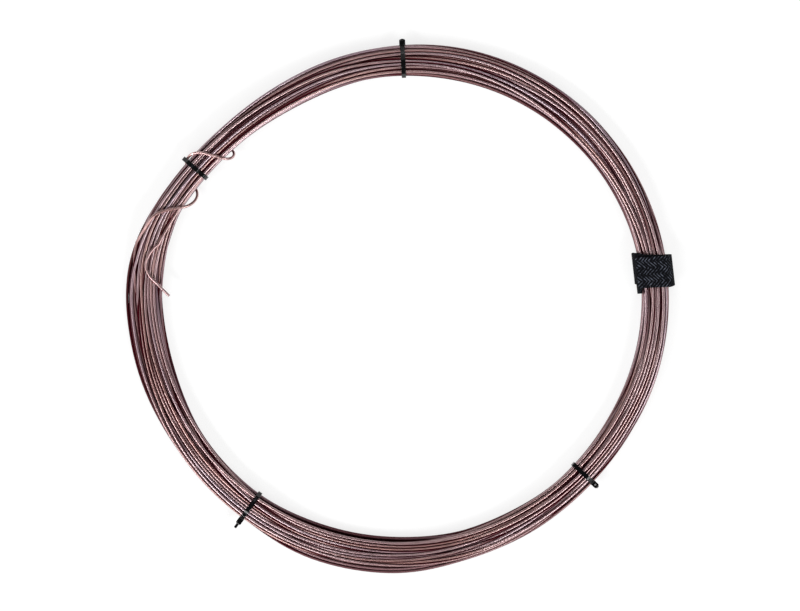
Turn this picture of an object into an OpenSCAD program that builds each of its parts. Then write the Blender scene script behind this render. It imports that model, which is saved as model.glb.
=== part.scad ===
// Coil of round copper wire: hand-wound turns lying flat in a slightly irregular ring,
// held by four cable ties and a hook-and-loop strap, with both wire ends at the upper left.
// Millimetres. The origin is the middle of the ring on the surface that the coil lies on.

/* [Wire] */
// Diameter of the wire
wire_d = 1.8; // [1.4:0.1:2]
// Spacing of neighbouring turns across a layer
turn_pitch = 2.1; // [2.05:0.05:2.5]
// Rise from one layer to the next
layer_rise = 1.7; // [1.5:0.05:2]
// Turns in the widest layer
turns_across = 9; // [7:1:11]

/* [Ring] */
// Mean radius of the ring's middle line
ring_r = 156; // [140:1:180]
// Room between a binding and the wire under it
seat_gap = 0.3; // [0.2:0.05:0.4]

/* [Cable ties] */
// Width of a tie's band
tie_w = 2.5; // [2:0.1:3.2]
// Thickness of a tie's band
tie_t = 1.1; // [0.8:0.1:1.3]
// Width and height of a tie's head
tie_head = 4.4; // [4:0.1:5]
// Depth of a tie's head, along the slot
tie_head_depth = 4; // [3:0.1:4.5]
// Length of the longest cut tail
tie_tail = 3; // [1.5:0.5:6]

/* [Strap] */
// Width of the hook-and-loop strap
strap_w = 20; // [14:1:26]
// Thickness of one layer of the strap
strap_t = 1; // [0.8:0.05:1.2]
// Slack of the strap beside the turns, on the ring's inner side
strap_slack_in = 2.6; // [1.5:0.1:4]
// Slack of the strap beside the turns, on the ring's outer side
strap_slack_out = 1.4; // [1.2:0.1:3]

/* [Hidden] */
$fn = 48;

// How many turns fewer than the widest layer each layer holds, from the bottom up
layer_fewer = [0, 1, 0, 1, 2];
// The ring's middle line is a chain of arcs that meet in line at these headings
bend_at = [-25, 115, 145, 185, 210, 310];
// Radius of the first four arcs as a share of the ring's; the last two close the ring
bend_share = [0.96, 1.41, 0.68, 1.14];
// Centre of the first arc, which sets the ring about the origin
first_centre = [9.5, 5.5];

// Headings, square to the wire, at which the bindings sit
tie_top_at = 93;
tie_upper_left_at = 139;
tie_lower_left_at = 233.5;
tie_lower_right_at = 316.5;
strap_at = 6.5;

// Routes of the two wire ends, point by point along the wire's middle: the heading round the
// ring, the place across the bundle (1 is against its outer side, -1 against its inner side)
// and the height (0 is under the bundle, 1 on top of it)
free_route = [[157, -0.4, 1.02], [161.5, -0.15, 1.02], [165, 0.05, 1.02], [168, 0.1, 1.02],
              [171.5, -0.15, 1.02], [174.5, -0.55, 1.02], [177, -1, 1.02], [180, -1.5, 1.02]];
wrapped_route = [[163, 1.05, 0.6], [159.5, 1, 0.75], [156.5, 0.8, 0.95], [154, 0.5, 1.04], [150, 0.1, 1.02],
                 [147, -0.35, 1.02], [145, -0.75, 1.02], [143.5, -1.1, 0.85], [142.5, -1.3, 0.5],
                 [141.5, -1.25, 0.1], [141.5, -0.7, 0], [141.5, 0, 0], [141.5, 0.75, 0],
                 [140.5, 1.2, 0.05], [139.5, 1.3, 0.3], [138, 1.2, 0.7], [137, 0.9, 1],
                 [136.5, 0.5, 1.04], [135.5, -0.1, 1.02], [135, -0.6, 1.04], [134, -1.05, 0.85],
                 [133, -1.3, 0.5], [132, -1.25, 0.1], [132, -0.65, 0], [132.5, 0, 0], [133.5, 0.5, 0]];
wire_sides = 8;
// Angle left between the arcs of the ring
hairline = 0.02;

// Everything that passes under the turns has this much room
lift = max(wire_d, 2 * strap_t) + seat_gap;
layers = len(layer_fewer);
widest = (turns_across - 1) * turn_pitch;
bundle_half_w = (widest + wire_d) / 2;
bundle_h = (layers - 1) * layer_rise + wire_d;

function heading(a) = [cos(a), sin(a)];

// Radii of all six arcs: the last two are solved so that the chain ends where it began
function arc_radii() =
    let(u = [for (a = bend_at) heading(a)], r = ring_r * bend_share,
        left_a = u[5] - u[4], left_b = u[0] - u[5],
        right = r[0] * (u[0] - u[1]) + r[1] * (u[1] - u[2]) + r[2] * (u[2] - u[3]) + r[3] * (u[3] - u[4]),
        det = left_a.x * left_b.y - left_a.y * left_b.x)
    concat(r, [(right.x * left_b.y - right.y * left_b.x) / det,
               (left_a.x * right.y - left_a.y * right.x) / det]);

arc_r = arc_radii();

function arc_centre(i) =
    i == 0 ? first_centre : arc_centre(i - 1) + (arc_r[i - 1] - arc_r[i]) * heading(bend_at[i]);

arc_c = [for (i = [0:len(arc_r) - 1]) arc_centre(i)];

// Point of the middle line where the outward heading is a
function ring_point(a) =
    let(h = a < bend_at[0] ? a + 360 : a, i = len([for (b = bend_at) if (b <= h) b]) - 1)
    arc_c[i] + arc_r[i] * heading(h);

// Section of the bundle, square to the wire: x outward from the middle line, y up.
// The turns that show round its rim stand out of a filled core.
module bundle_section() {
    for (row = [0:layers - 1]) {
        count = turns_across - layer_fewer[row];
        for (i = row == 0 || row == layers - 1 ? [0:count - 1] : [0, count - 1])
            translate([(i - (count - 1) / 2) * turn_pitch, lift + wire_d / 2 + row * layer_rise])
                circle(d = wire_d);
    }
    polygon(concat([for (row = [0:layers - 1]) row_end(row, 1)],
                   [for (row = [layers - 1:-1:0]) row_end(row, -1)]));
}

// Middle of the last turn of a layer, on the outer (1) or the inner (-1) side
function row_end(row, side) =
    [side * (turns_across - layer_fewer[row] - 1) / 2 * turn_pitch, lift + wire_d / 2 + row * layer_rise];

// The turns as one solid, turned arc by arc along the ring. A hairline parts the ridges of
// one arc from the next, where the turns cross over, and a splice in the core joins the arcs.
module wound_turns() {
    color("rosybrown")
        for (i = [0:len(arc_r) - 1]) {
            next = i == len(arc_r) - 1 ? bend_at[0] + 360 : bend_at[i + 1];
            translate(arc_c[i]) {
                rotate(bend_at[i] + hairline)
                    rotate_extrude(angle = next - bend_at[i] - hairline, $fn = 180)
                        translate([arc_r[i], 0])
                            bundle_section();
                rotate(next)
                    translate([arc_r[i], 0, lift + bundle_h / 2])
                        cube([widest - 2 * turn_pitch, 2 * wire_d, bundle_h - 2 * wire_d], center = true);
            }
        }
}

// Point of a wire end's route in space
function route_place(p) =
    let(side = p[1] * (bundle_half_w + seat_gap + wire_d / 2), low = 0.55 * wire_d,
        high = lift + bundle_h + seat_gap + wire_d / 2, at = ring_point(p[0]) + side * heading(p[0]))
    [at.x, at.y, low + p[2] * (high - low)];

function unit(v) = v / norm(v);

// Smooth curve through the points of a route, at share u of stretch i
function route_point(p, i, u) =
    let(a = p[max(i - 1, 0)], b = p[i], c = p[i + 1], d = p[min(i + 2, len(p) - 1)])
    0.5 * (2 * b + (c - a) * u + (2 * a - 5 * b + 4 * c - d) * u ^ 2 + (3 * b - a - 3 * c + d) * u ^ 3);

// Directions square to the tangents t, carried along without twist
function carried(t, i = 0, last = [0, 0, 1]) =
    i == len(t) ? [] : let(n = unit(last - (last * t[i]) * t[i])) concat([n], carried(t, i + 1, n));

// One wire end, swept along its route with steps rings between two of its points
module wire_end(places, steps) {
    route = [for (p = places) route_place(p)];
    p = concat([for (i = [0:len(route) - 2], k = [0:steps - 1]) route_point(route, i, k / steps)],
               [route[len(route) - 1]]);
    last = len(p) - 1;
    t = [for (i = [0:last]) unit(p[min(i + 1, last)] - p[max(i - 1, 0)])];
    n = carried(t);
    s = wire_sides;
    points = [for (i = [0:last], k = [0:s - 1])
        p[i] + wire_d / 2 * (cos(360 * k / s) * n[i] + sin(360 * k / s) * cross(t[i], n[i]))];
    walls = [for (i = [0:last - 1], k = [0:s - 1], half = [0, 1])
        let(a = i * s + k, b = i * s + (k + 1) % s)
        half == 0 ? [a, a + s, b] : [b, a + s, b + s]];
    caps = [[for (k = [0:s - 1]) k], [for (k = [s - 1:-1:0]) last * s + k]];
    color("rosybrown") polyhedron(points, concat(walls, caps));
}

module free_end() wire_end(free_route, 1);

module wrapped_end() wire_end(wrapped_route, 2);

// Puts what is drawn in the bundle's section (x outward, y up) square to the wire at heading a,
// with thickness t along the wire
module across_ring(a, t) {
    translate(ring_point(a))
        rotate([90, 0, a])
            linear_extrude(t, center = true)
                children();
}

// Outline at a distance g outside the whole bundle
module round_bundle(g) {
    offset(r = g, $fn = 24)
        hull()
            for (row = [0, layers - 3, layers - 1], side = [-1, 1])
                translate(row_end(row, side))
                    circle(d = wire_d, $fn = 24);
}

// One cable tie at heading a, with its head on the outer (1) or the inner (-1) side,
// at height z, and its cut tail
module cable_tie(a, side, z, tail) {
    face = bundle_half_w + seat_gap;
    color([0.08, 0.08, 0.09]) {
        across_ring(a, tie_w)
            difference() {
                round_bundle(seat_gap + tie_t);
                round_bundle(seat_gap);
            }
        translate(ring_point(a))
            rotate(a + (side < 0 ? 180 : 0))
                translate([face, 0, z])
                    tie_head_block(tail);
    }
}

// Head with its slot, the tail in it, and the window of the pawl; x runs outward
module tie_head_block(tail) {
    slot_h = 1.8 * tie_t;
    difference() {
        rotate([0, 90, 0])
            linear_extrude(tie_head_depth)
                offset(r = 0.6, $fn = 24)
                    square(tie_head - 1.2, center = true);
        translate([tie_head_depth - 1, -tie_w / 2 - 0.2, -tie_t / 2])
            cube([2, tie_w + 0.4, slot_h]);
    }
    translate([tie_head_depth - 2, -tie_w / 2 + 0.1, -tie_t / 2 + 0.1])
        cube([2 + tail, tie_w - 0.2, tie_t - 0.1]);
}

module cable_tie_top() cable_tie(tie_top_at, 1, lift + bundle_h * 0.6, tie_tail / 6);

module cable_tie_upper_left() cable_tie(tie_upper_left_at, -1, lift + bundle_h * 0.35, tie_tail / 3);

module cable_tie_lower_left() cable_tie(tie_lower_left_at, 1, lift + bundle_h * 0.5, tie_tail);

module cable_tie_lower_right() cable_tie(tie_lower_right_at, 1, lift + bundle_h * 0.5, tie_tail / 6);

// Opening that the strap's loop leaves, widened by g all round
module strap_loop(g) {
    inner_r = (bundle_h + 2 * seat_gap) / 2;
    offset(r = g, $fn = 24)
        hull()
            for (x = [-bundle_half_w - strap_slack_in + inner_r / 2, bundle_half_w + strap_slack_out - inner_r / 2])
                translate([x, lift + bundle_h / 2])
                    scale([0.5, 1])
                        circle(r = inner_r, $fn = 32);
}

// Hook-and-loop strap: two layers, the outer one a little askew, its end left underneath
module strap() {
    end_cut = 6;
    askew = 2;
    ahead = 1;
    color([0.1, 0.1, 0.12]) {
        across_ring(strap_at, strap_w)
            difference() {
                strap_loop(strap_t);
                strap_loop(0);
            }
        translate([ring_point(strap_at).x, ring_point(strap_at).y, 0])
            rotate([90, 0, strap_at + askew])
                translate([0, 0, ahead])
                    linear_extrude(strap_w, center = true)
                        difference() {
                            strap_loop(2 * strap_t);
                            strap_loop(strap_t / 2);
                            translate([bundle_half_w - end_cut, -strap_t])
                                square([end_cut, 2 * strap_t]);
                        }
    }
}

wound_turns();
free_end();
wrapped_end();
cable_tie_top();
cable_tie_upper_left();
cable_tie_lower_left();
cable_tie_lower_right();
strap();
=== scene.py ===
"""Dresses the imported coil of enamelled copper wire: the wound wire, its ties and its strap."""

import logging
import math
from dataclasses import dataclass, field
from enum import Enum

import bmesh
import bpy
import numpy as np
from mathutils import Matrix, Vector


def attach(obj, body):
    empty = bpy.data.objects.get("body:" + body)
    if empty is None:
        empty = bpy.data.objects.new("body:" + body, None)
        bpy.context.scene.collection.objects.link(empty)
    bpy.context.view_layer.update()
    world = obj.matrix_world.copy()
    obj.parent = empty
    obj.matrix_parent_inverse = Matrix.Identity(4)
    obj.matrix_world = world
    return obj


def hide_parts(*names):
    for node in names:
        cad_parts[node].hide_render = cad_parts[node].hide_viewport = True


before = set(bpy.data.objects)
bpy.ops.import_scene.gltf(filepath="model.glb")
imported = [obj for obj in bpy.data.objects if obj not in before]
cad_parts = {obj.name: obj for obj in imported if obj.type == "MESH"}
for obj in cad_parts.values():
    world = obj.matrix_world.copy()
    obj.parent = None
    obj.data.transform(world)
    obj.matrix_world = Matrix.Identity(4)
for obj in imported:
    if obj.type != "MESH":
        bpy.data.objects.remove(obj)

LOG = logging.getLogger("coil_of_wire")
MM = 0.001
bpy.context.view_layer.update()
# a piece's edges are rounded where its faces meet at more than this angle
SHARP_FROM = math.radians(35)

Array = np.ndarray
Colour = tuple[float, float, float, float]
Socket = bpy.types.NodeSocket


# --- Small helpers ---


def ease(share: Array) -> Array:
    """Bend a share from 0 to 1 so that it starts and ends gently."""
    return share**2 * (3 - 2 * share)


def eased(knots: tuple[tuple[float, float], ...], heading: Array) -> Array:
    """Read a value that is given at some headings round the ring.

    Args:
        knots: Headings in degrees, in rising order, each with its value.
        heading: Headings to read it at, in degrees.

    Returns:
        The value at each heading, running smoothly from knot to knot.
    """
    at, value = np.array(knots, float).T
    turned = (heading - at[0]) % 360 + at[0]
    at, value = np.append(at, at[0] + 360), np.append(value, value[0])
    knot = np.clip(np.searchsorted(at, turned, side="right") - 1, 0, len(at) - 2)
    share = ease((turned - at[knot]) / (at[knot + 1] - at[knot]))
    return value[knot] * (1 - share) + value[knot + 1] * share


def run_along(points: Array) -> Array:
    """Return how far along a line of points each one lies."""
    return np.concatenate([[0], np.cumsum(np.linalg.norm(np.diff(points, axis=0), axis=1))])


def smooth_run(values: Array, rounds: int, strength: float) -> Array:
    """Even out a run of values, with its two ends held.

    Args:
        values: Values along the run, one row each.
        rounds: How many times to go over it.
        strength: How far each value moves towards the middle of its neighbours.

    Returns:
        The evened run.
    """
    run = values.copy()
    for _ in range(rounds):
        middle = 0.5 * (run[:-2] + run[2:])
        run[1:-1] += strength * (middle - run[1:-1])
    return run


def curve_through(points: Array, step: float) -> Array:
    """Draw one smooth curve through points.

    Args:
        points: The points, one row each.
        step: Greatest distance between two points of the result.

    Returns:
        Points along the curve, the last point included.
    """
    padded = np.vstack([points[0], points, points[-1]])
    drawn = []
    for a, b, c, d in zip(padded, padded[1:], padded[2:], padded[3:]):
        count = max(2, math.ceil(np.linalg.norm(c - b) / step))
        for u in np.arange(count) / count:
            drawn.append(
                0.5 * (2 * b + (c - a) * u + (2 * a - 5 * b + 4 * c - d) * u**2
                       + (3 * b - a - 3 * c + d) * u**3)
            )
    drawn.append(points[-1])
    return np.array(drawn)


def placed(name: str, data: bpy.types.ID) -> bpy.types.Object:
    """Put a mesh, curve, lamp or camera into the scene.

    Args:
        name: The object's name.
        data: What it shows.

    Returns:
        The new object, at the origin.
    """
    thing = bpy.data.objects.new(name, data)
    bpy.context.scene.collection.objects.link(thing)
    return thing


def new_piece(name: str, bm: bmesh.types.BMesh, smooth: bool = True) -> bpy.types.Object:
    """Turn a bmesh into an object of the scene.

    Args:
        name: The object's name.
        bm: The mesh; it is freed.
        smooth: Whether its faces are shaded smooth.

    Returns:
        The new object, at the origin.
    """
    mesh = bpy.data.meshes.new(name)
    bm.to_mesh(mesh)
    bm.free()
    for face in mesh.polygons:
        face.use_smooth = smooth
    return placed(name, mesh)


def add_box(bm: bmesh.types.BMesh, place: Matrix, size: tuple[float, float, float]) -> None:
    """Add a box of some size to a mesh, its middle at a place."""
    bmesh.ops.create_cube(bm, size=1, matrix=place @ Matrix.Diagonal((*size, 1)))


def soften_edges(piece: bpy.types.Object, width: float) -> None:
    """Round the sharp edges of a piece with a Bevel modifier.

    Args:
        piece: The piece.
        width: Width of the rounding in metres.
    """
    bevel = piece.modifiers.new("softened_edges", "BEVEL")
    bevel.width = width
    bevel.segments = 3
    bevel.limit_method = "ANGLE"
    bevel.angle_limit = SHARP_FROM
    bevel.harden_normals = True


# --- The ring and the turns laid in it ---


@dataclass
class RingLine:
    """Middle line of the ring: a closed chain of arcs that meet in line. Millimetres."""

    mean_radius: float = 156.0
    bends: tuple[float, ...] = (-25, 115, 145, 185, 210, 310)
    bend_shares: tuple[float, ...] = (0.96, 1.41, 0.68, 1.14)
    first_centre: tuple[float, float] = (9.5, 5.5)
    radii: Array = field(init=False)
    centres: Array = field(init=False)

    def __post_init__(self) -> None:
        """Work out the last two radii, which close the ring, and all centres."""
        u = self.outward(np.array(self.bends))
        r = self.mean_radius * np.array(self.bend_shares)
        closing = np.column_stack([u[5] - u[4], u[0] - u[5]])
        rest = r[0] * (u[0] - u[1]) + r[1] * (u[1] - u[2]) + r[2] * (u[2] - u[3]) + r[3] * (u[3] - u[4])
        self.radii = np.concatenate([r, np.linalg.solve(closing, rest)])
        centres = [np.array(self.first_centre)]
        for i in range(1, 6):
            centres.append(centres[-1] + (self.radii[i - 1] - self.radii[i]) * u[i])
        self.centres = np.array(centres)

    @staticmethod
    def outward(heading: Array) -> Array:
        """Return the unit vector in the floor's plane for each heading in degrees."""
        angle = np.radians(np.asarray(heading, float))
        return np.stack([np.cos(angle), np.sin(angle)], axis=-1)

    def point(self, heading: Array) -> Array:
        """Return the middle line's points where the outward direction has these headings."""
        turned = (np.asarray(heading, float) - self.bends[0]) % 360 + self.bends[0]
        arc = np.clip(np.searchsorted(self.bends, turned, side="right") - 1, 0, 5)
        return self.centres[arc] + self.radii[arc][..., None] * self.outward(turned)

    def place(self, heading: Array, across: Array, height: Array) -> Array:
        """Turn places in the bundle into points in space.

        Args:
            heading: Headings round the ring in degrees.
            across: Distances outward from the middle line.
            height: Heights over the floor.

        Returns:
            One point per row, in millimetres.
        """
        flat = self.point(heading) + np.asarray(across, float)[..., None] * self.outward(heading)
        return np.concatenate([flat, np.asarray(height, float)[..., None]], axis=-1)

    def frame_at(self, heading: float) -> Matrix:
        """Return the place of a binding: x outward, y along the wire, z up."""
        x, y = self.point(np.array([heading]))[0]
        return Matrix.Translation((x, y, 0)) @ Matrix.Rotation(math.radians(heading), 4, "Z")


class Side(Enum):
    """Side of the bundle."""

    OUTER = 1
    INNER = -1


def near(heading: Array, middle: float, half_span: float) -> Array:
    """Tell how fully a feature of the ring counts at each heading.

    Args:
        heading: Headings round the ring in degrees.
        middle: Heading of the feature's middle.
        half_span: How far it reaches to each side, in degrees.

    Returns:
        A share at each heading, from 0 outside it to 1 about its middle.
    """
    away = np.abs((heading - middle + 180) % 360 - 180) / half_span
    return ease(np.clip(1.6 - 1.6 * away, 0, 1))


@dataclass(frozen=True)
class Swell:
    """A stretch where the bundle is wider than elsewhere, or narrower where a value is negative."""

    heading: float
    half_span: float
    inner: float
    outer: float


@dataclass(frozen=True)
class Stray:
    """A turn that stands apart from the rest along part of the ring."""

    turn: int
    side: Side
    heading: float
    half_span: float
    from_edge: float
    gap: float
    level: float


@dataclass(frozen=True)
class Room:
    """The room that the wires' middles have, slice by slice round the ring."""

    inner: Array
    outer: Array
    lowest: Array
    tall: Array


@dataclass
class Bundle:
    """Where every turn lies in the bundle, slice by slice round the ring. Millimetres."""

    ring: RingLine = field(default_factory=RingLine)
    turns: int = 41
    slices: int = 144
    fine_slices: int = 192
    wire: float = 1.8
    fill: float = 0.64
    start: float = 163.0
    rounds: int = 300
    seed: int = 7
    half_width: float = 9.0
    mid_height: float = 7.0
    # what each round of settling does: draws the turns home, lets them sag, fans them out over
    # the bundle's width and evens them along the wire
    draw_across: float = 0.06
    draw_up: float = 0.04
    sag: float = 0.02
    fan: float = 0.2
    evening: float = 0.55
    # how much longer than its free stretch a stray's run along the edge is, and how fast it rises
    stray_run: float = 2.6
    stray_rise: float = 0.2
    swells: tuple[Swell, ...] = (
        # loose and spread between bindings, at the left, the bottom and the upper right
        Swell(184, 32, 2.5, 2.5),
        Swell(260, 26, 1.5, 3.5),
        Swell(65, 40, 1.5, 1.0),
        # drawn together by the strap and by the upper left and lower right ties
        Swell(-5, 32, -1.0, 0.0),
        Swell(137, 20, -2.0, -1.0),
        Swell(316, 16, -1.5, -0.5),
    )
    # heading and height of the lowest wire's middle
    rests: tuple[tuple[float, float], ...] = (
        (-25, 1.9), (-8, 2.5), (6.5, 3.1), (20, 2.6), (45, 1.8), (75, 1.9), (93, 2.3), (112, 2.4),
        (130, 3.15), (145, 3.15), (160, 2.3), (190, 1.7), (215, 1.9), (233, 2.3), (255, 1.8),
        (290, 1.8), (316, 2.3),
    )
    strays: tuple[Stray, ...] = (
        Stray(9, Side.OUTER, 190, 24, 0, 0.7, 0.3),
        Stray(20, Side.OUTER, 264, 22, 0, 0, 0.45),
        Stray(27, Side.OUTER, 264, 20, 1.9, 0.9, 0.6),
        Stray(14, Side.OUTER, 306, 15, 0, 1.2, 0.3),
        Stray(31, Side.INNER, 250, 15, 0, 1.0, 0.4),
    )
    across: Array = field(init=False)
    height: Array = field(init=False)
    # heading, place across and height of the wire's ends that pass round the bundle
    ends: list[Array] = field(default_factory=list)

    def __post_init__(self) -> None:
        """Lay the turns, and draw them finer."""
        self.lay()
        self.refine()

    def headings(self) -> Array:
        """Return the heading of each slice."""
        return self.start + np.arange(self.slices) * 360 / self.slices

    def wandering(self, rng: np.random.Generator) -> Array:
        """Let each turn wander slowly among the others, as one unbroken run of wire.

        Args:
            rng: Source of the wandering.

        Returns:
            The turn's share of the way through the others, by turn and slice.
        """
        run = np.arange(self.turns * self.slices) / self.slices
        value = np.zeros(len(run))
        for length, size in ((7.3, 1.0), (3.1, 0.9), (1.7, 0.6), (1.05, 0.35), (0.7, 0.15)):
            pace = length * (1 + 0.07 * rng.standard_normal())
            value += size * np.sin(2 * np.pi * (run / pace + rng.random()))
        value = value.reshape(self.turns, self.slices)
        share = (np.argsort(np.argsort(value, axis=0), axis=0) + 0.5) / self.turns
        return smooth_run(share.reshape(-1), 120, 0.5).reshape(share.shape)

    def pushed_apart(self, x: Array, z: Array) -> tuple[Array, Array]:
        """Push turns that overlap in a slice away from each other.

        Args:
            x: Places across the bundle, by turn and slice.
            z: Heights, by turn and slice.

        Returns:
            The new places and heights.
        """
        dx = x[:, None, :] - x[None, :, :]
        dz = z[:, None, :] - z[None, :, :]
        apart = np.sqrt(dx * dx + dz * dz) + 1e-6
        push = 0.35 * np.clip(self.wire * 1.01 - apart, 0, None) / apart
        return x + (push * dx).sum(1), z + (push * dz).sum(1)

    def lay(self) -> None:
        """Settle the turns side by side and on each other, between the bundle's edges."""
        rng = np.random.default_rng(self.seed)
        heading = self.headings()
        inner = self.wire / 2 - self.half_width
        outer = self.half_width - self.wire / 2
        for swell in self.swells:
            share = near(heading, swell.heading, swell.half_span)
            inner = inner - share * swell.inner
            outer = outer + share * swell.outer
        lowest = eased(self.rests, heading)
        middle, half = (inner + outer) / 2, (outer - inner) / 2
        section = self.turns * math.pi * (self.wire / 2) ** 2 / self.fill
        tall = section / (2 * half + self.wire) - self.wire
        room = Room(inner, outer, lowest, tall)
        side = self.wandering(rng) * 2 - 1
        side = 0.81 * side + 0.19 * side**3
        level = self.wandering(rng) * 2 - 1
        home_x = middle + half * side
        crown = np.sqrt(np.clip(1 - side**2, 0.04, 1))
        home_z = lowest + tall / 2 + level * tall / 2 * crown
        self.hold_ends(home_x, home_z, room)
        x, z = home_x.copy(), home_z.copy()
        low, high = self.room_kept()
        flat = (self.turns * self.slices,)
        rising = home_z > lowest + tall
        for number in range(self.rounds):
            pull = 1 - number / self.rounds
            x += self.draw_across * pull * (home_x - x)
            z += self.draw_up * pull * (home_z - z) - self.sag
            for _ in range(4):
                x, z = self.pushed_apart(x, z)
                raised = np.clip((z - lowest - 1.5) / 2, 0, 1)
                x = np.clip(x, inner + raised * low, outer - raised * high)
                roof = lowest + tall * (1 - 0.3 * np.abs((x - middle) / half).clip(0, 1) ** 5)
                z = np.clip(z, lowest, np.where(rising, z, roof))
            spread = (x - x.min(0)) / (x.max(0) - x.min(0))
            x += self.fan * (inner + spread * (outer - inner) - x)
            self.hold_strays(x, z, room)
            passes = 3 if number >= self.rounds - 30 else 5
            x = smooth_run(x.reshape(flat), passes, self.evening).reshape(x.shape)
            z = smooth_run(z.reshape(flat), passes, self.evening).reshape(z.shape)
        self.across, self.height = x, z

    def refine(self) -> None:
        """Draw the laid turns with more slices."""
        coarse = np.arange(self.turns * self.slices) / self.slices
        fine = np.arange(self.turns * self.fine_slices) / self.fine_slices
        shape = (self.turns, self.fine_slices)
        self.across, self.height = (
            smooth_run(np.interp(fine, coarse, laid.reshape(-1)), 3, 0.5).reshape(shape)
            for laid in (self.across, self.height)
        )
        self.slices = self.fine_slices

    def room_kept(self) -> tuple[Array, Array]:
        """Find how far each turn stays from the edges, so that the strays stand clear.

        Returns:
            Room at the inner and at the outer edge, by turn and slice.
        """
        low, high = np.zeros((2, self.turns, self.slices))
        for stray in self.strays:
            share = near(self.headings(), stray.heading, stray.half_span)
            room = share * (stray.from_edge + self.wire + stray.gap)
            beyond = [s.turn for s in self.strays
                      if s.heading == stray.heading and s.from_edge <= stray.from_edge]
            others = [turn for turn in range(self.turns) if turn not in beyond]
            side = high if stray.side is Side.OUTER else low
            side[others] = np.maximum(side[others], room)
        return low, high

    def hold_strays(self, x: Array, z: Array, room: Room) -> None:
        """Keep the strays at their side of the bundle.

        Args:
            x: Places across, changed here.
            z: Heights, changed here.
            room: The room of all turns.
        """
        for stray in self.strays:
            share = near(self.headings(), stray.heading, stray.half_span * self.stray_run)
            level = room.lowest + stray.level * room.tall
            outside = stray.side is Side.OUTER
            edge = room.outer - stray.from_edge if outside else room.inner + stray.from_edge
            x[stray.turn] += share * (edge - x[stray.turn])
            z[stray.turn] += self.stray_rise * share * (level - z[stray.turn])

    def hold_ends(self, x: Array, z: Array, room: Room) -> None:
        """Bring the first turn in from the outer side, and the last one out on top.

        Args:
            x: Wished places across, changed here.
            z: Wished heights, changed here.
            room: The room of all turns.
        """
        outer, top = room.outer, room.lowest + room.tall
        count = self.slices // 8
        share = np.linspace(1, 0, count) ** 1.5
        x[0, :count] += share * (outer[:count] - self.wire / 2 - x[0, :count])
        z[0, :count] += share * (top[:count] - 1 - z[0, :count])
        share = share[::-1]
        x[-1, -count:] += share * (-3.0 - x[-1, -count:])
        z[-1, -count:] += share * (top[-count:] + 1.5 - z[-1, -count:])

    def slice_at(self, heading: float) -> Array:
        """Cut the bundle square to the wire.

        Args:
            heading: Where to cut, in degrees.

        Returns:
            The middle of each wire that is cut: place across and height, one row each.
        """
        at = (heading - self.start) % 360 / 360 * self.slices
        before = int(at) % self.slices
        share = at - int(at)
        x, z = self.across[:, before], self.height[:, before]
        if before == self.slices - 1:
            x2, z2 = self.across[1:, 0], self.height[1:, 0]
            x, z = x[:-1], z[:-1]
        else:
            x2, z2 = self.across[:, before + 1], self.height[:, before + 1]
        return np.column_stack([x * (1 - share) + x2 * share, z * (1 - share) + z2 * share])

    def height_on_top(self, heading: float, across: float) -> float:
        """Find where a wire comes to lie on the bundle.

        Args:
            heading: Heading in degrees.
            across: Place across the bundle.

        Returns:
            Height of its middle, or 0 beside the bundle.
        """
        reach = self.wire * 1.02
        highest = 0.0
        for aside in (-1.2, 0, 1.2):
            cut = self.slice_at(heading + aside)
            away = np.abs(cut[:, 0] - across)
            under = cut[away < reach]
            if len(under):
                lift = np.sqrt(reach**2 - away[away < reach] ** 2)
                highest = max(highest, float((under[:, 1] + lift).max()))
        return highest

    def outline(self, heading: float, span: float, gap: float, count: int) -> Array:
        """Draw the tight outline round the bundle.

        Args:
            heading: Where, in degrees.
            span: How many degrees of the ring the outline has to clear.
            gap: Distance from the wires.
            count: Number of points.

        Returns:
            Points of a closed outline, evenly spaced, counter-clockwise from the outer side.
        """
        cut = np.vstack([self.slice_at(heading + s) for s in np.linspace(-span / 2, span / 2, 5)])
        for end in self.ends:
            cut = np.vstack([cut, end[np.abs(end[:, 0] - heading) < span / 2, 1:]])
        angle = np.radians(np.arange(0, 360, 3))
        facing = np.column_stack([np.cos(angle), np.sin(angle)])
        furthest = (cut @ facing.T).argmax(0)
        hull = cut[furthest] + (self.wire / 2 + gap) * facing
        return spread_evenly(hull, count)


def spread_evenly(outline: Array, count: int) -> Array:
    """Space the points of a closed outline evenly.

    Args:
        outline: The outline's points.
        count: How many points the result has.

    Returns:
        The new points; the first one stays.
    """
    closed = np.vstack([outline, outline[:1]])
    run = run_along(closed)
    at = np.arange(count) / count * run[-1]
    return np.column_stack([np.interp(at, run, closed[:, k]) for k in range(closed.shape[1])])


# --- Finishes ---


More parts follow.
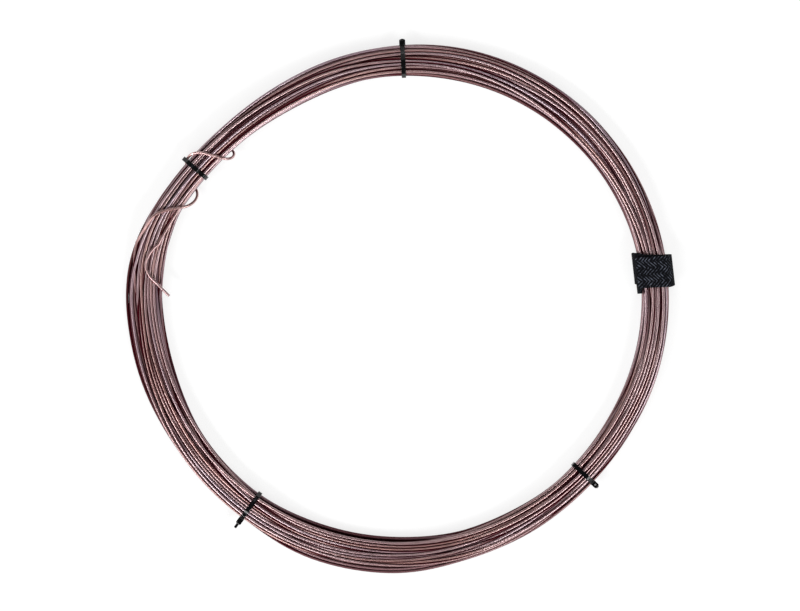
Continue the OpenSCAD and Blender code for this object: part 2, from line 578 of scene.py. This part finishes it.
class NodeBook:
    """Adds nodes to a material or a node group, and feeds their inputs."""

    def __init__(self, tree: bpy.types.NodeTree) -> None:
        """Start on a node tree."""
        self.tree = tree

    def feed(self, node: bpy.types.Node, inputs: dict[str | int, object]) -> None:
        """Give inputs of a node a value, or link them to the output of another node.

        Args:
            node: The node.
            inputs: Values or sockets, by the input's name or number.
        """
        for key, value in inputs.items():
            if isinstance(value, Socket):
                self.tree.links.new(value, node.inputs[key])
            else:
                node.inputs[key].default_value = value

    def add(self, kind: str, inputs: dict[str | int, object] | None = None,
            **settings: object) -> bpy.types.Node:
        """Add a node.

        Args:
            kind: Blender's name for the node type.
            inputs: What to feed its inputs.
            **settings: Properties of the node.

        Returns:
            The new node.
        """
        node = self.tree.nodes.new(kind)
        for key, value in settings.items():
            setattr(node, key, value)
        self.feed(node, inputs or {})
        return node

    def maths(self, operation: str, a: object, b: object = 0.0) -> Socket:
        """Work out a value from one or two others."""
        return self.add("ShaderNodeMath", {0: a, 1: b}, operation=operation).outputs[0]

    def ripple(self, run: Socket, length: float) -> Socket:
        """Return a sine wave of some length along a run."""
        return self.maths("SINE", self.maths("MULTIPLY", run, 2 * math.pi / length))

    def blend(self, share: object, a: object, b: object) -> Socket:
        """Mix two colours."""
        inputs = {"Factor": share, 6: a, 7: b}
        return self.add("ShaderNodeMix", inputs, data_type="RGBA").outputs[2]

    def span(self, value: object, low: float, high: float, to_low: float, to_high: float) -> Socket:
        """Carry a value from one range to another, held within it."""
        inputs = {0: value, 1: low, 2: high, 3: to_low, 4: to_high}
        return self.add("ShaderNodeMapRange", inputs).outputs[0]

    def noise(self, inputs: dict[str | int, object], dimensions: str = "3D") -> Socket:
        """Return a noise from 0 to 1."""
        return self.add("ShaderNodeTexNoise", inputs, noise_dimensions=dimensions).outputs["Fac"]

    def bump(self, strength: float, depth: float, height: Socket) -> Socket:
        """Raise a relief, its depth in metres."""
        inputs = {"Strength": strength, "Distance": depth, "Height": height}
        return self.add("ShaderNodeBump", inputs).outputs[0]


def surface_of(name: str) -> tuple[bpy.types.Material, NodeBook, bpy.types.Node]:
    """Start a material.

    Args:
        name: The material's name.

    Returns:
        The material, the book that adds its nodes, and its shader.
    """
    material = bpy.data.materials.new(name)
    material.use_nodes = True
    return material, NodeBook(material.node_tree), material.node_tree.nodes["Principled BSDF"]


def fine_marks() -> bpy.types.NodeTree:
    """Return the group for handling marks: a soft mottle and a fine grain, each from 0 to 1."""
    group = bpy.data.node_groups.get("fine_marks")
    if group:
        return group
    group = bpy.data.node_groups.new("fine_marks", "ShaderNodeTree")
    for name, start in (("Mottle Scale", 300.0), ("Grain Scale", 4000.0)):
        socket = group.interface.new_socket(name, in_out="INPUT", socket_type="NodeSocketFloat")
        socket.default_value = start
    for name in ("Mottle", "Grain"):
        group.interface.new_socket(name, in_out="OUTPUT", socket_type="NodeSocketFloat")
    book = NodeBook(group)
    scale = book.add("NodeGroupInput").outputs
    place = book.add("ShaderNodeTexCoord").outputs["Object"]
    mottle = book.noise(
        {"Vector": place, "Scale": scale["Mottle Scale"], "Detail": 4.0, "Roughness": 0.6}
    )
    grain = book.noise({"Vector": place, "Scale": scale["Grain Scale"], "Detail": 2.0})
    book.add("NodeGroupOutput", {"Mottle": mottle, "Grain": grain})
    return group


def marks(book: NodeBook, mottle_scale: float, grain_scale: float) -> tuple[Socket, Socket]:
    """Place the handling marks in a material at its own scales.

    Args:
        book: Adds the material's nodes.
        mottle_scale: Scale of the mottle.
        grain_scale: Scale of the grain.

    Returns:
        The mottle and the grain.
    """
    scales = {"Mottle Scale": mottle_scale, "Grain Scale": grain_scale}
    outputs = book.add("ShaderNodeGroup", scales, node_tree=fine_marks()).outputs
    return outputs["Mottle"], outputs["Grain"]


def colour(red: float, green: float, blue: float) -> Colour:
    """Return a colour with full cover."""
    return (red, green, blue, 1.0)


@dataclass(frozen=True)
class EnamelledCopper:
    """Copper wire under a clear brown-pink enamel, its tint changing from turn to turn; the shade
    between and under the turns is painted into its colour.
    """

    rose: Colour = colour(0.60, 0.375, 0.39)
    brown: Colour = colour(0.56, 0.285, 0.26)
    mauve: Colour = colour(0.46, 0.31, 0.37)
    # colour of the painted shade, laid on between touching turns and low in the bundle
    painted_shade_colour: Colour = colour(0.07, 0.004, 0.01)
    roughness: float = 0.34
    enamel: float = 1.0
    enamel_roughness: float = 0.22
    enamel_ior: float = 2.4

    def material(self) -> bpy.types.Material:
        """Build the material."""
        surface, book, shader = surface_of("enamelled_copper")
        run = book.add("ShaderNodeAttribute", attribute_name="wire_run").outputs["Fac"]
        slow = book.noise({"W": run, "Scale": 1.7, "Detail": 1.0}, "1D")
        quick = book.noise({"W": run, "Scale": 3.3, "Detail": 2.0}, "1D")
        mottle, grain = marks(book, 90.0, 3000.0)
        warm = book.blend(book.span(slow, 0.4, 0.6, 0, 1), self.mauve, self.rose)
        tint = book.blend(book.span(quick, 0.42, 0.68, 0, 1), warm, self.brown)
        shade = book.span(mottle, 0.3, 0.7, 0.9, 1.1)
        toned = book.add("ShaderNodeVectorMath", {0: tint, 3: shade}, operation="SCALE").outputs[0]
        # painted shade: the colour darkens to a dark red-brown, and the enamel's coat goes off, between
        # touching turns and low in the bundle
        groove = book.add("ShaderNodeAttribute", attribute_name="wire_painted_shade").outputs["Fac"]
        depth = book.span(groove, 0.03, 0.75, 0, 1)
        rough = book.span(mottle, 0.25, 0.75, self.roughness - 0.03, self.roughness + 0.04)
        book.feed(shader, {
            "Base Color": book.blend(depth, toned, self.painted_shade_colour),
            "Metallic": 1.0,
            "Roughness": book.maths("ADD", rough, book.maths("MULTIPLY", depth, 0.3)),
            "Coat Weight": book.span(groove, 0.0, 0.6, self.enamel, 0),
            "Coat Roughness": self.enamel_roughness,
            "Coat IOR": self.enamel_ior,
            "Normal": book.bump(0.2, 0.00001, grain),
        })
        return surface


@dataclass(frozen=True)
class CutCopper:
    """Bare copper where the wire was cut, mottled, with a fine grain in its roughness."""

    bright: Colour = colour(0.80, 0.42, 0.27)
    dull: Colour = colour(0.55, 0.26, 0.16)

    def material(self) -> bpy.types.Material:
        """Build the material."""
        surface, book, shader = surface_of("cut_copper")
        mottle, grain = marks(book, 1500.0, 9000.0)
        book.feed(shader, {
            "Base Color": book.blend(mottle, self.dull, self.bright),
            "Metallic": 1.0,
            "Roughness": book.span(grain, 0.3, 0.7, 0.28, 0.5),
        })
        return surface


@dataclass(frozen=True)
class MouldedNylon:
    """Black moulded nylon with a clean shine, scuffed grey here and there."""

    black: Colour = colour(0.0015, 0.0015, 0.002)
    scuffed: Colour = colour(0.03, 0.032, 0.038)
    roughness: float = 0.17
    specular: float = 0.3
    tooth: float = 0.0009

    def material(self) -> bpy.types.Material:
        """Build the material."""
        surface, book, shader = surface_of("moulded_nylon")
        mottle, grain = marks(book, 260.0, 7000.0)
        run = book.add("ShaderNodeAttribute", attribute_name="band_run").outputs["Fac"]
        teeth = book.maths("MULTIPLY", book.ripple(run, self.tooth), 0.3)
        relief = book.maths("ADD", teeth, book.maths("MULTIPLY", grain, 0.12))
        scuff = book.span(mottle, 0.58, 0.7, 0, 1)
        book.feed(shader, {
            "Base Color": book.blend(scuff, self.black, self.scuffed),
            "Roughness": book.span(mottle, 0.5, 0.75, self.roughness, self.roughness + 0.12),
            "Specular IOR Level": self.specular,
            "Normal": book.bump(0.25, 0.00003, relief),
        })
        return surface


@dataclass(frozen=True)
class WovenStrap:
    """Near-black hook-and-loop webbing in a herringbone weave, its raised yarn drawn light as a painted
    sheen. Lengths in metres.
    """

    thread: Colour = colour(0.0014, 0.0016, 0.003)
    # colour of the raised yarn: a painted sheen on the weave's crowns
    raised: Colour = colour(0.17, 0.19, 0.245)
    rib: float = 0.0022
    column: float = 0.0042
    yarn: float = 0.0006
    specular: float = 0.08

    def material(self, unshaded_from: float) -> bpy.types.Material:
        """Build the material.

        Args:
            unshaded_from: Run of the strap in metres from which the weave's painted sheen shows in full;
                before it, on the inner laps, it is drawn faint, a painted shade under the outer lap.

        Returns:
            The material.
        """
        surface, book, shader = surface_of("woven_strap")
        place = book.add("ShaderNodeUVMap").outputs[0]
        split = book.add("ShaderNodeSeparateXYZ", {0: place})
        along, over = split.outputs[0], split.outputs[1]
        wave = book.ripple(book.maths("ADD", along, book.maths("PINGPONG", over, self.column)), self.rib)
        yarn = book.ripple(over, self.yarn)
        mottle, grain = marks(book, 420.0, 6000.0)
        # painted sheen: the herringbone's raised yarn is drawn light, less so in random patches
        painted_yarn_sheen = book.maths("MULTIPLY", book.span(wave, 0.1, 0.9, 0, 1), book.span(yarn, -1, 1, 0.6, 1))
        sheen_and_wear = book.maths("MULTIPLY", painted_yarn_sheen, book.span(mottle, 0.44, 0.64, 0.06, 1))
        # painted shade: the inner laps keep only a faint share of the weave's painted sheen and come out
        # near black
        face = book.span(along, unshaded_from, unshaded_from + 0.003, 0.15, 1)
        relief = book.maths("ADD", book.maths("ADD", wave, book.maths("MULTIPLY", yarn, 0.5)), grain)
        book.feed(shader, {
            "Base Color": book.blend(book.maths("MULTIPLY", sheen_and_wear, face), self.thread, self.raised),
            "Roughness": book.span(grain, 0.3, 0.7, 0.6, 0.85),
            "Specular IOR Level": self.specular,
            "Normal": book.bump(0.6, 0.00012, relief),
        })
        return surface


# --- Pieces ---


@dataclass
class WireCoil:
    """The wire from its tucked end, through all turns, to its free end."""

    bundle: Bundle
    enamel: EnamelledCopper = EnamelledCopper()
    cut: CutCopper = CutCopper()
    sides: int = 12
    low: float = 1.05
    # painted shade: how far from a touching turn the darkening reaches, and how strong it is on the low
    # wires
    painted_shade_reach: float = 0.72
    low_shade: float = 0.8
    # the painted shade is full at the bundle's foot and gone from this height on
    open_from: float = 9.05
    shade_span: float = 5.5
    # heading, place across and share of the height, from the free end's root to its tip
    free_route: tuple[tuple[float, float, float], ...] = (
        (162.7, -2.3, 1), (166.3, 0.2, 1), (169, 0.7, 1), (170.8, -0.4, 1), (173.2, -3.6, 1),
        (176.2, -9.9, 1), (179.8, -16.3, 1),
    )
    # the same from the wrapped end's tucked tip to where it enters the bundle
    wrapped_route: tuple[tuple[float, float, float], ...] = (
        (133.4, 3, 0), (132.9, -2, 0), (132.6, -6, 0), (132.6, -8.8, 0.08), (132.9, -10.4, 0.3),
        (133.5, -10.9, 0.55), (134.1, -9.9, 0.82), (134.7, -7, 1), (135.3, -2.6, 1), (136, 1.7, 1),
        (136.6, 6, 1), (137.4, 8.5, 0.94), (137.9, 9.4, 0.78), (138.5, 9.6, 0.55), (139, 9.2, 0.3),
        (139.5, 8, 0.08), (140, 5.5, 0), (140.6, 1, 0), (141.1, -3, 0), (141.6, -7, 0),
        (142, -9.4, 0.08), (142.6, -11.1, 0.32), (143.6, -11.5, 0.6), (144.6, -9.9, 0.88),
        (146.1, -6.6, 1), (148.9, -1.2, 1), (151, 2.5, 1), (152.3, 4.7, 1), (153.6, 5.8, 1),
        (154.8, 6.4, 1), (157.1, 6.6, 1), (159.7, 6.8, 1),
    )
    # number of points that lead up to the first turn
    lead: int = field(init=False, default=0)

    def build(self) -> bpy.types.Object:
        """Returns:
            The finished piece.
        """
        line = self.whole_line() * MM
        piece = self.tube(line)
        piece.data.materials.append(self.enamel.material())
        piece.data.materials.append(self.cut.material())
        for face in piece.data.polygons:
            face.material_index = 1 if len(face.vertices) > 4 else 0
        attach(piece, "root")
        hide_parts("wound_turns", "free_end", "wrapped_end")
        return piece

    def whole_line(self) -> Array:
        """Return the wire's middle line from the tucked end to the free end, in millimetres."""
        ring, bundle = self.bundle.ring, self.bundle
        headings = np.tile(bundle.headings(), bundle.turns)
        turns = ring.place(headings, bundle.across.reshape(-1), bundle.height.reshape(-1))
        tucked = self.route(self.wrapped_route, turns[:1])
        self.lead = len(tucked)
        free = self.route(self.free_route, turns[-1:], forward=False)
        return np.vstack([tucked, turns, free])

    def route(self, route: tuple, joint: Array, forward: bool = True) -> Array:
        """Lay one end of the wire over and under the bundle.

        Args:
            route: Headings and shares, in the order of the wire's run.
            joint: The turns' point that the end joins.
            forward: Whether the end leads to the joint, and not away from it.

        Returns:
            Points of the end without the joint, in millimetres.
        """
        steps = curve_through(np.array(route, float), 1.0)
        high = np.array([self.bundle.height_on_top(h, x) for h, x, _ in steps])
        rest = high.max()
        top = np.where(high > 0, high, rest)
        z = self.low + np.clip(steps[:, 2], 0, 1) * (top - self.low)
        z = np.where(steps[:, 2] > 0.97, np.maximum(smooth_run(z, 30, 0.5), z), z)
        z = smooth_run(z, 10, 0.5)
        points = self.bundle.ring.place(steps[:, 0], steps[:, 1], z)
        self.bundle.ends.append(np.column_stack([steps[:, :2], z]))
        if forward:
            joined = np.vstack([points[:-3], joint])
            return smooth_run(joined, 6, 0.5)[:-1]
        joined = np.vstack([joint, points])
        return smooth_run(joined, 6, 0.5)[1:]

    def tube(self, line: Array) -> bpy.types.Object:
        """Turn the middle line into a closed tube that knows its own run.

        Args:
            line: Points of the middle line in metres.

        Returns:
            The tube as a mesh object.
        """
        curve = bpy.data.curves.new("wire_line", "CURVE")
        curve.dimensions = "3D"
        curve.twist_mode = "MINIMUM"
        curve.bevel_depth = self.bundle.wire / 2 * MM
        curve.bevel_resolution = (self.sides - 4) // 2
        curve.use_fill_caps = True
        spline = curve.splines.new("POLY")
        spline.points.add(len(line) - 1)
        spline.points.foreach_set("co", np.column_stack([line, np.ones(len(line))]).ravel())
        drawn = placed("wire_line", curve)
        seen = drawn.evaluated_get(bpy.context.evaluated_depsgraph_get())
        mesh = bpy.data.meshes.new_from_object(seen)
        bpy.data.objects.remove(drawn)
        mesh.name = "copper_wire"
        run = run_along(line)
        around = len(mesh.vertices) // len(line)
        values = np.full(len(mesh.vertices), run[-1])
        values[: around * len(line)] = np.repeat(run, around)
        mesh.attributes.new("wire_run", "FLOAT", "POINT").data.foreach_set("value", values)
        # painted shade: one value per point, darkening the colour between the turns and low in the
        # bundle
        depth = self.painted_shade_depth(mesh, len(line), around)
        mesh.attributes.new("wire_painted_shade", "FLOAT", "POINT").data.foreach_set("value", depth)
        for face in mesh.polygons:
            face.use_smooth = len(face.vertices) == 4
        LOG.info("tube: %d points on the line, %d round it", len(line), around)
        return placed("copper_wire", mesh)

    def painted_shade_depth(self, mesh: bpy.types.Mesh, rings: int, around: int) -> Array:
        """Find how much painted shade each point of the tube takes, from how close it lies to a touching
        turn and how low it lies in the bundle.

        Args:
            mesh: The tube's mesh, ring by ring.
            rings: Number of rings.
            around: Points on each ring.

        Returns:
            One value per vertex, the share of painted shade, from 0 in the open on top to 1 where two
            turns touch.
        """
        bundle = self.bundle
        values = np.zeros(len(mesh.vertices))
        spots = np.zeros(len(mesh.vertices) * 3)
        mesh.vertices.foreach_get("co", spots)
        spots = spots.reshape(-1, 3)[: rings * around].reshape(rings, around, 3) / MM
        shape = (bundle.turns, bundle.slices, around)
        first, last = self.lead, self.lead + bundle.turns * bundle.slices
        turns = spots[first:last].reshape(*shape, 3)
        heading = bundle.headings()
        out = bundle.ring.outward(heading)[None, :, None, :]
        x = ((turns[..., :2] - bundle.ring.point(heading)[None, :, None, :]) * out).sum(-1)
        z = turns[..., 2]
        nearest = np.full(shape, np.inf)
        for other in range(bundle.turns):
            across, height = bundle.across[other][:, None], bundle.height[other][:, None]
            apart = np.hypot(x - across, z - height)
            apart[other] = np.inf
            nearest = np.minimum(nearest, apart - bundle.wire / 2)
        # painted shade on the low wires, growing towards the bundle's foot
        sunk = np.clip((self.open_from - z) / self.shade_span, 0, 1)
        depth = np.maximum(np.clip(1 - nearest / self.painted_shade_reach, 0, 1), self.low_shade * sunk)
        values[first * around : last * around] = depth.reshape(-1)
        return values


@dataclass(frozen=True)
class TieHead:
    """Shape and place of a cable tie's head. Millimetres and degrees."""

    depth: float
    height: float
    rounding: float = 1.0
    tail: float = 0.3
    pawl: bool = False
    # how far the head sits in over the turns, and how far it leans outward there
    inset: float = 0.0
    lean: float = 0.0
    thick: float = 3.8
    wide: float = 3.4
    ramp: float = 1.0
    slope: float = 22.0
    tail_wide: float = 1.7
    rim: float = 0.3
    well: float = 1.1
    pawl_size: tuple[float, float, float] = (1.1, 1.1, 0.5)


@dataclass
class CableTie:
    """One nylon cable tie round the bundle. Millimetres."""

    node: str
    bundle: Bundle
    heading: float
    head_side: Side
    head: TieHead
    # where the toothed band steps down to its plain neck, and by how much
    neck_at: float = 4.0
    neck_step: float = 0.7
    neck_slope: float = 22.0
    width: float = 2.7
    thickness: float = 1.1
    gap: float = 0.15
    points: int = 176
    steps_over: int = 4

    def build(self, nylon: bpy.types.Material) -> bpy.types.Object:
        """Build the band and the head as one piece.

        Args:
            nylon: The nylon.

        Returns:
            The finished piece.
        """
        bm = bmesh.new()
        run = bm.verts.layers.float.new("band_run")
        self.add_band(bm, run)
        self.add_head(bm)
        bmesh.ops.recalc_face_normals(bm, faces=bm.faces)
        bmesh.ops.transform(bm, matrix=Matrix.Scale(MM, 4), verts=bm.verts)
        piece = new_piece(self.node.replace("cable_", "nylon_"), bm)
        soften_edges(piece, 0.2 * MM)
        piece.data.materials.append(nylon)
        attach(piece, "root")
        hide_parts(self.node)
        LOG.info("%s at heading %.1f", self.node, self.heading)
        return piece

    def stepped(self, outline: Array) -> Array:
        """Lift the toothed part of the band over its neck, on top of the bundle.

        Args:
            outline: The band's outline across and up.

        Returns:
            The outline with its step.
        """
        side = self.head_side.value
        top = outline[:, 1] > outline[:, 1].mean()
        before = side * (self.neck_at - outline[:, 0])
        length = max(self.neck_step, 0.1) / math.tan(math.radians(self.neck_slope))
        ramp = np.clip(before / length + 0.5, 0, 1)
        fade = np.clip((side * outline[:, 0] + 8) / 6, 0, 1)
        outline[:, 1] += np.where(top, self.neck_step * ramp * fade, 0)
        return outline

    def add_band(self, bm: bmesh.types.BMesh, run: bmesh.types.BMLayerItem) -> None:
        """Add the band: an outline round the wires, drawn out along them and thickened.

        Args:
            bm: Mesh to add to.
            run: Layer that keeps the distance along the band.
        """
        span = math.degrees(self.width / self.bundle.ring.mean_radius)
        outline = self.stepped(self.bundle.outline(self.heading, span, self.gap, self.points))
        outline[:, 1] = np.maximum(outline[:, 1], self.thickness + 0.02)
        place = self.bundle.ring.frame_at(self.heading)
        ring = []
        for (x, z), gone in zip(outline, run_along(outline)):
            vert = bm.verts.new(place @ Vector((x, -self.width / 2, z)))
            vert[run] = gone * MM
            ring.append(vert)
        edges = [bm.edges.new((a, b)) for a, b in zip(ring, ring[1:] + ring[:1])]
        shift = place.to_3x3() @ Vector((0, self.width / self.steps_over, 0))
        for _ in range(self.steps_over):
            made = bmesh.ops.extrude_edge_only(bm, edges=edges)["geom"]
            moved = [g for g in made if isinstance(g, bmesh.types.BMVert)]
            bmesh.ops.translate(bm, verts=moved, vec=shift)
            edges = [g for g in made if isinstance(g, bmesh.types.BMEdge)
                     and all(v in moved for v in g.verts)]
        bmesh.ops.recalc_face_normals(bm, faces=bm.faces)
        middle = place @ Vector((0, 0, self.bundle.mid_height))
        if sum((f.calc_center_median() - middle).dot(f.normal) for f in bm.faces) < 0:
            bmesh.ops.reverse_faces(bm, faces=bm.faces)
        bmesh.ops.solidify(bm, geom=bm.faces[:], thickness=-self.thickness)

    def head_place(self) -> Matrix:
        """Return the place of the head's root: x away from the turns, z up."""
        outline = self.bundle.outline(self.heading, 1, self.gap, self.points)
        side = self.head_side.value
        beside = outline[np.abs(outline[:, 1] - self.head.height) < self.head.thick / 2]
        face = (beside[:, 0] * side).max() if len(beside) else (outline[:, 0] * side).max()
        place = self.bundle.ring.frame_at(self.heading)
        if self.head_side is Side.INNER:
            place = place @ Matrix.Rotation(math.pi, 4, "Z")
        root = Matrix.Translation((face - self.gap - self.head.inset, 0, self.head.height))
        return place @ root @ Matrix.Rotation(math.radians(self.head.lean), 4, "Y")

    def add_head(self, bm: bmesh.types.BMesh) -> None:
        """Add the head with its slot and pawl, and the cut tail that comes out of it.

        Args:
            bm: Mesh to add to.
        """
        head = self.head
        block = bmesh.new()
        middle = Matrix.Translation((head.depth / 2, 0, 0))
        add_box(block, middle, (head.depth, head.wide, head.thick))
        corners = [e for e in block.edges
                   if all(v.co.x > head.depth - 0.01 for v in e.verts)
                   and abs(e.verts[0].co.z - e.verts[1].co.z) > 1]
        bmesh.ops.bevel(block, geom=corners, offset=head.rounding, segments=5, profile=0.5,
                        affect="EDGES", material=-1)
        slope = math.radians(head.slope)
        cut = bmesh.ops.bisect_plane(
            block, geom=block.verts[:] + block.edges[:] + block.faces[:],
            plane_co=(head.depth - head.ramp, 0, head.thick / 2),
            plane_no=(math.sin(slope), 0, math.cos(slope)), clear_outer=True)["geom_cut"]
        bmesh.ops.holes_fill(block, edges=[g for g in cut if isinstance(g, bmesh.types.BMEdge)])
        block.normal_update()
        front = max(block.faces, key=lambda f: f.normal.x)
        bmesh.ops.inset_individual(block, faces=[front], thickness=head.rim)
        well = bmesh.ops.extrude_discrete_faces(block, faces=[front])["faces"]
        inside = list({v for f in well for v in f.verts})
        bmesh.ops.translate(block, verts=inside, vec=(-head.well, 0, 0))
        reach = head.depth * 0.6 + head.tail
        root = Matrix.Translation((head.depth * 0.4 + reach / 2, 0, 0))
        add_box(block, root, (reach, head.tail_wide, self.thickness))
        if head.pawl:
            seat = Matrix.Translation((head.depth * 0.42, 0, head.thick / 2))
            add_box(block, seat @ Matrix.Rotation(slope, 4, "Y"), head.pawl_size)
        bmesh.ops.transform(block, matrix=self.head_place(), verts=block.verts)
        made = bpy.data.meshes.new("tie_head")
        block.to_mesh(made)
        block.free()
        bm.from_mesh(made)
        bpy.data.meshes.remove(made)


@dataclass
class Strap:
    """Hook-and-loop strap wound twice round the bundle, its layers a little askew. Millimetres."""

    bundle: Bundle
    webbing: WovenStrap = WovenStrap()
    heading: float = 6.5
    width: float = 19.4
    layer: float = 0.95
    slack_in: float = 2.2
    slack_out: float = 1.4
    # share of the strap's length after which the weave shows in full; the inner laps before it are drawn
    # near black, a painted shade under the outer lap
    laps: float = 2.02
    unshaded_share: float = 0.8
    # share of a layer's room that the webbing fills
    webbing_share: float = 0.86
    lap_points: int = 150
    rows: int = 20
    # place across, on top of the bundle, where the strap starts
    start_at: float = -8.5
    # share of the strap's length, and how far it has moved along the wire there
    drift: tuple[tuple[float, float], ...] = (
        (0, -2.8), (0.12, -2.6), (0.3, -0.2), (0.34, 0.2), (0.46, 1.9), (0.49, 3.2), (0.53, 3.8),
        (0.62, 2.4), (0.83, -0.6), (1, 0.6),
    )

    def build(self) -> bpy.types.Object:
        """Build the strap as one ribbon along a spiral.

        Returns:
            The finished piece.
        """
        path = self.spiral()
        run = run_along(path)
        count = len(path) - 1
        bm = bmesh.new()
        bmesh.ops.create_grid(bm, x_segments=count, y_segments=self.rows, size=1, calc_uvs=True)
        uv = bm.loops.layers.uv.verify()
        place = self.bundle.ring.frame_at(self.heading)
        shares = {vert: ((vert.co.x + 1) / 2, (vert.co.y + 1) / 2) for vert in bm.verts}
        for face in bm.faces:
            for loop in face.loops:
                s, w = shares[loop.vert]
                loop[uv].uv = (s * run[-1] * MM, w * self.width * MM)
        for vert, (s, w) in shares.items():
            x, z = path[min(round(s * count), count)]
            vert.co = place @ Vector((x, (w - 0.5) * self.width + self.shift(s), z))
        bmesh.ops.transform(bm, matrix=Matrix.Scale(MM, 4), verts=bm.verts)
        piece = new_piece("hook_and_loop_strap", bm)
        wall = piece.modifiers.new("webbing_thickness", "SOLIDIFY")
        wall.thickness = self.layer * self.webbing_share * MM
        wall.offset = 0
        soften_edges(piece, 0.25 * MM)
        piece.data.materials.append(self.webbing.material(self.unshaded_share * float(run[-1]) * MM))
        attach(piece, "root")
        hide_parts("strap")
        LOG.info("strap: %.0f mm long", run[-1])
        return piece

    def shift(self, share: float) -> float:
        """Return how far the ribbon has moved along the wire after a share of its length."""
        at, moved = zip(*self.drift)
        return float(np.interp(share, at, moved))

    def spiral(self) -> Array:
        """Wind the strap's middle line round the bundle, from the inside out.

        Returns:
            Points across and up.
        """
        loop = self.bundle.outline(self.heading, 8, self.layer / 2 + 0.1, 180)
        inner, outer = loop[:, 0].min(), loop[:, 0].max()
        loop[:, 0] += np.where(loop[:, 0] < 0, -self.slack_in * (loop[:, 0] / inner) ** 3,
                               self.slack_out * (loop[:, 0] / outer) ** 3)
        for _ in range(30):
            loop = 0.5 * loop + 0.25 * (np.roll(loop, 1, 0) + np.roll(loop, -1, 0))
        loop = spread_evenly(loop, self.lap_points)
        ahead = np.roll(loop, -1, 0) - np.roll(loop, 1, 0)
        facing = np.column_stack([ahead[:, 1], -ahead[:, 0]])
        facing /= np.linalg.norm(facing, axis=1)[:, None]
        on_top = loop[:, 1] > self.bundle.mid_height
        first = int(np.argmin(np.where(on_top, np.abs(loop[:, 0] - self.start_at), np.inf)))
        run = np.arange(int(self.laps * self.lap_points))
        at = (first + run) % self.lap_points
        path = loop[at] + facing[at] * (run[:, None] / self.lap_points * self.layer)
        path[:, 1] += max(0.0, self.layer / 2 - path[:, 1].min())
        return path


# --- Studio ---


@dataclass(frozen=True)
class SoftBox:
    """One soft lamp that looks at the middle of the coil."""

    azimuth: float
    elevation: float
    distance: float
    size: tuple[float, float]
    power: float

    def hang(self, name: str) -> None:
        """Hang the lamp."""
        lamp = bpy.data.lights.new(name, "AREA")
        lamp.shape = "RECTANGLE"
        lamp.size, lamp.size_y = self.size
        lamp.energy = self.power
        holder = placed(name, lamp)
        a, e = math.radians(self.azimuth), math.radians(self.elevation)
        way = Vector((math.cos(e) * math.cos(a), math.cos(e) * math.sin(a), math.sin(e)))
        spot = way * self.distance
        holder.location = spot
        holder.rotation_euler = spot.to_track_quat("Z", "Y").to_euler()


@dataclass
class Studio:
    """Camera, floor and lamps."""

    view_width: float = 0.5
    camera_height: float = 1.6
    coil_middle_height: float = 0.007
    picture_middle: tuple[float, float] = (0.0, 0.0015625)
    boxes: tuple[SoftBox, ...] = (
        SoftBox(228, 38, 5.0, (4.6, 0.8), 158),
        SoftBox(317, 38, 5.0, (4.6, 0.8), 132),
        SoftBox(180, 30, 2.6, (1.2, 0.12), 9),
        SoftBox(0, 30, 2.6, (1.2, 0.12), 3),
        SoftBox(90, 60, 2.4, (1.6, 0.3), 5),
    )
    sky: float = 0.13
    floor_tone: float = 0.3
    floor_glow: float = 0.78

    def set_camera(self) -> None:
        """Hang the camera straight over the coil."""
        camera = bpy.data.cameras.new("camera")
        away = self.camera_height - self.coil_middle_height
        camera.lens = camera.sensor_width * away / self.view_width
        camera.clip_end = 20
        holder = placed("camera", camera)
        holder.location = (*self.picture_middle, self.camera_height)
        bpy.context.scene.camera = holder

    def light(self) -> None:
        """Hang the lamps, set the sky and lay the floor."""
        for number, box in enumerate(self.boxes):
            box.hang(f"soft_box_{number + 1}")
        world = bpy.data.worlds.new("studio")
        bpy.context.scene.world = world
        world.use_nodes = True
        back = world.node_tree.nodes["Background"]
        back.inputs[0].default_value = colour(1.0, 1.0, 1.0)
        back.inputs[1].default_value = self.sky
        bpy.context.scene.view_settings.view_transform = "Standard"
        self.lay_floor()

    def lay_floor(self) -> None:
        """Lay a plain pale floor, which shows nearly white and keeps its shadows."""
        bm = bmesh.new()
        bmesh.ops.create_grid(bm, x_segments=4, y_segments=4, size=3)
        floor = new_piece("floor", bm, smooth=False)
        surface, book, shader = surface_of("pale_floor")
        rays = book.add("ShaderNodeLightPath").outputs
        seen = book.maths("MAXIMUM", rays["Is Camera Ray"], rays["Is Glossy Ray"])
        seen = book.maths("MAXIMUM", seen, rays["Is Transmission Ray"])
        book.feed(shader, {
            "Base Color": colour(self.floor_tone, self.floor_tone, self.floor_tone),
            "Roughness": 0.9,
            "Specular IOR Level": 0.1,
            "Emission Color": colour(1.0, 1.0, 1.0),
            "Emission Strength": book.maths("MULTIPLY", seen, self.floor_glow),
        })
        floor.data.materials.append(surface)


def main() -> None:
    """Build the coil piece by piece."""
    logging.basicConfig(level=logging.INFO, format="%(name)s: %(message)s")
    studio = Studio()
    studio.set_camera()
    bundle = Bundle()
    WireCoil(bundle).build()
    nylon = MouldedNylon().material()
    ties = (
        CableTie("cable_tie_top", bundle, 92.9, Side.OUTER, TieHead(3.4, 6.6, wide=3.8),
                 neck_at=5.0, neck_step=0.0),
        CableTie("cable_tie_upper_left", bundle, 139.0, Side.INNER,
                 TieHead(3.6, 8.0, inset=2.9, lean=28, wide=2.6, thick=2.6, rounding=0.8),
                 neck_at=-1.0, neck_slope=29.8),
        CableTie("cable_tie_lower_left", bundle, 233.9, Side.OUTER, TieHead(4.6, 6.2, tail=3.0)),
        CableTie("cable_tie_lower_right", bundle, 316.7, Side.OUTER,
                 TieHead(4.2, 6.2, rounding=1.5, pawl=True), neck_at=3.8),
    )
    for tie in ties:
        tie.build(nylon)
    Strap(bundle).build()
    studio.light()


if __name__ == "__main__":
    main()
